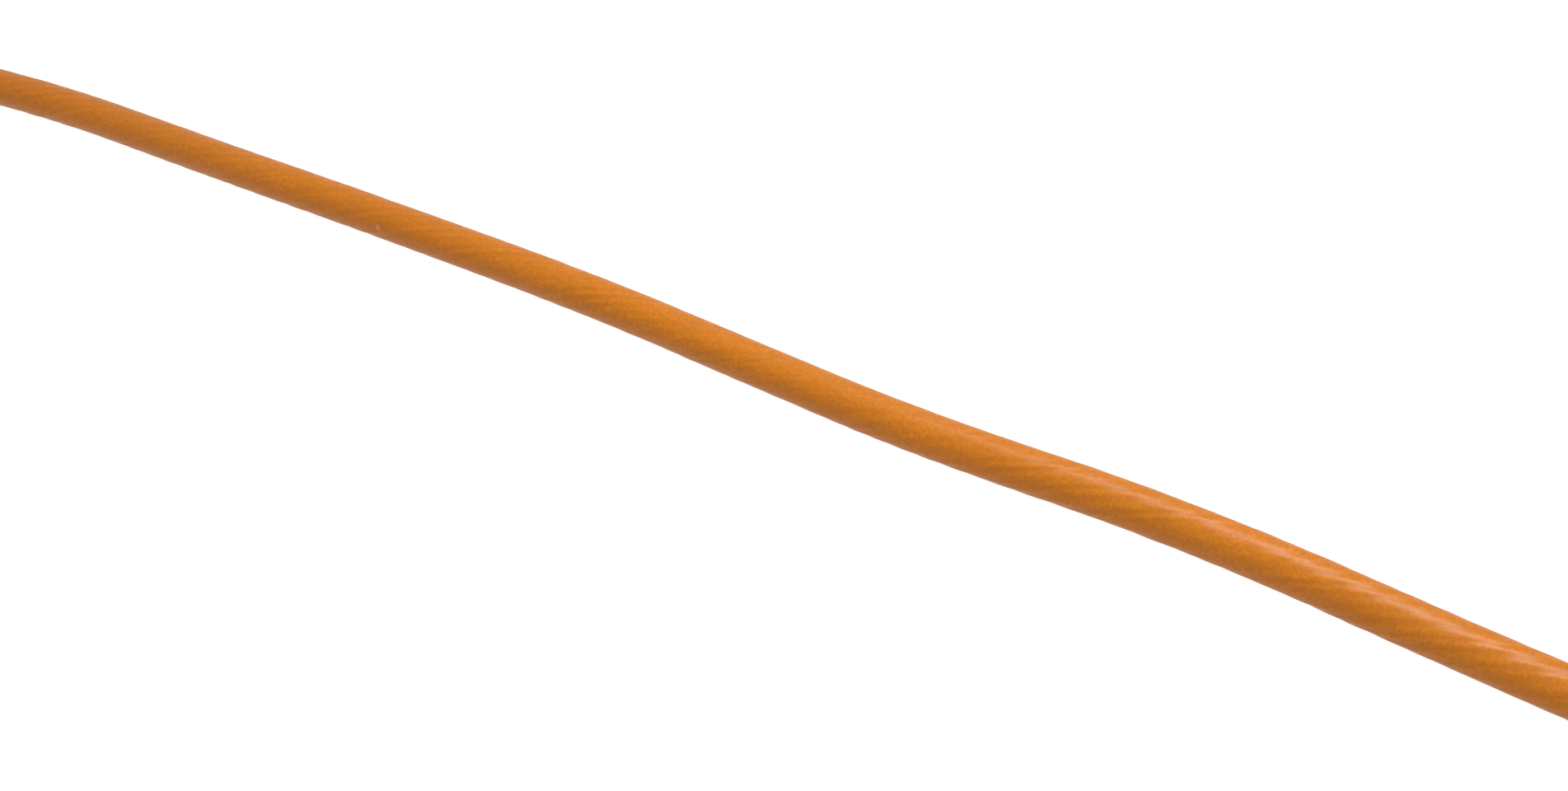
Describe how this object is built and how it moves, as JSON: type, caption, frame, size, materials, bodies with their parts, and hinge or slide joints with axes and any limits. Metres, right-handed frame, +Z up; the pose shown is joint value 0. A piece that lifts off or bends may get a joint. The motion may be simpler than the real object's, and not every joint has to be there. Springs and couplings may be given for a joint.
{
  "type": "fiber optic patch cord",
  "caption": "Single jacketed fiber optic cord with a push-pull plug on each end, laid across a table into a tied coil",
  "frame": {"origin": "on the table, under the middle of plug A (the plug without a cap)", "axes": "+X from plug A's ferrule tip to its boot and the cord, +Z up from the table, +Y away from the coil"},
  "size_m": [0.2685, 0.1142, 0.0083],
  "materials": {
    "jacket": "soft satin, rippled by the yarn under it",
    "grip_plastic": "moulded satin",
    "frame_plastic": "moulded satin",
    "ferrule": "polished",
    "plated_metal": "nickel plated, turned",
    "spring_steel": "drawn wire",
    "crimp_metal": "plated, crimped",
    "aramid": "loose yarn",
    "buffer": "smooth",
    "boot": "fine matte",
    "cap": "soft, slightly clear",
    "tie": "woven hook-and-loop strap"
  },
  "bodies": {
    "root": {"plug_frame_a": "frame_plastic", "stop_ring_a": "plated_metal", "crimp_sleeve_a": "crimp_metal", "aramid_yarn_a": "aramid", "jacket_end_a": "jacket", "boot_a": "boot", "ferrule_spring_a": "spring_steel", "plug_frame_b": "frame_plastic", "stop_ring_b": "plated_metal", "crimp_sleeve_b": "crimp_metal", "aramid_yarn_b": "aramid", "jacket_end_b": "jacket", "boot_b": "boot", "ferrule_spring_b": "spring_steel", "cord_run": "jacket", "cord_coil": "jacket", "cord_tail": "jacket", "coil_tie_1": "tie", "coil_tie_2": "tie"},
    "grip_a": {"grip_housing_a": "grip_plastic"},
    "ferrule_unit_a": {"ferrule_a": "ferrule", "ferrule_flange_a": "plated_metal", "tight_buffer_a": "buffer"},
    "grip_b": {"grip_housing_b": "grip_plastic"},
    "ferrule_unit_b": {"ferrule_b": "ferrule", "ferrule_flange_b": "plated_metal", "tight_buffer_b": "buffer"},
    "cap_b": {"dust_cap_b": "cap"}
  },
  "joints": [
    {"name": "grip_a_slide", "type": "slide", "parent": "root", "child": "grip_a", "axis": [1, 0, 0], "range_m": [0, 0.0018]},
    {"name": "ferrule_a_float", "type": "slide", "parent": "root", "child": "ferrule_unit_a", "axis": [1, 0, 0], "range_m": [0, 0.0015], "stiffness_N_per_m": 2500, "deforming": ["ferrule_spring_a"]},
    {"name": "grip_b_slide", "type": "slide", "parent": "root", "child": "grip_b", "axis": [0, -1, 0], "range_m": [0, 0.0018]},
    {"name": "ferrule_b_float", "type": "slide", "parent": "root", "child": "ferrule_unit_b", "axis": [0, -1, 0], "range_m": [0, 0.0015], "stiffness_N_per_m": 2500, "deforming": ["ferrule_spring_b"]},
    {"name": "cap_b_pull", "type": "slide", "parent": "root", "child": "cap_b", "axis": [0, 1, 0], "range_m": [0, 0.018]}
  ]
}
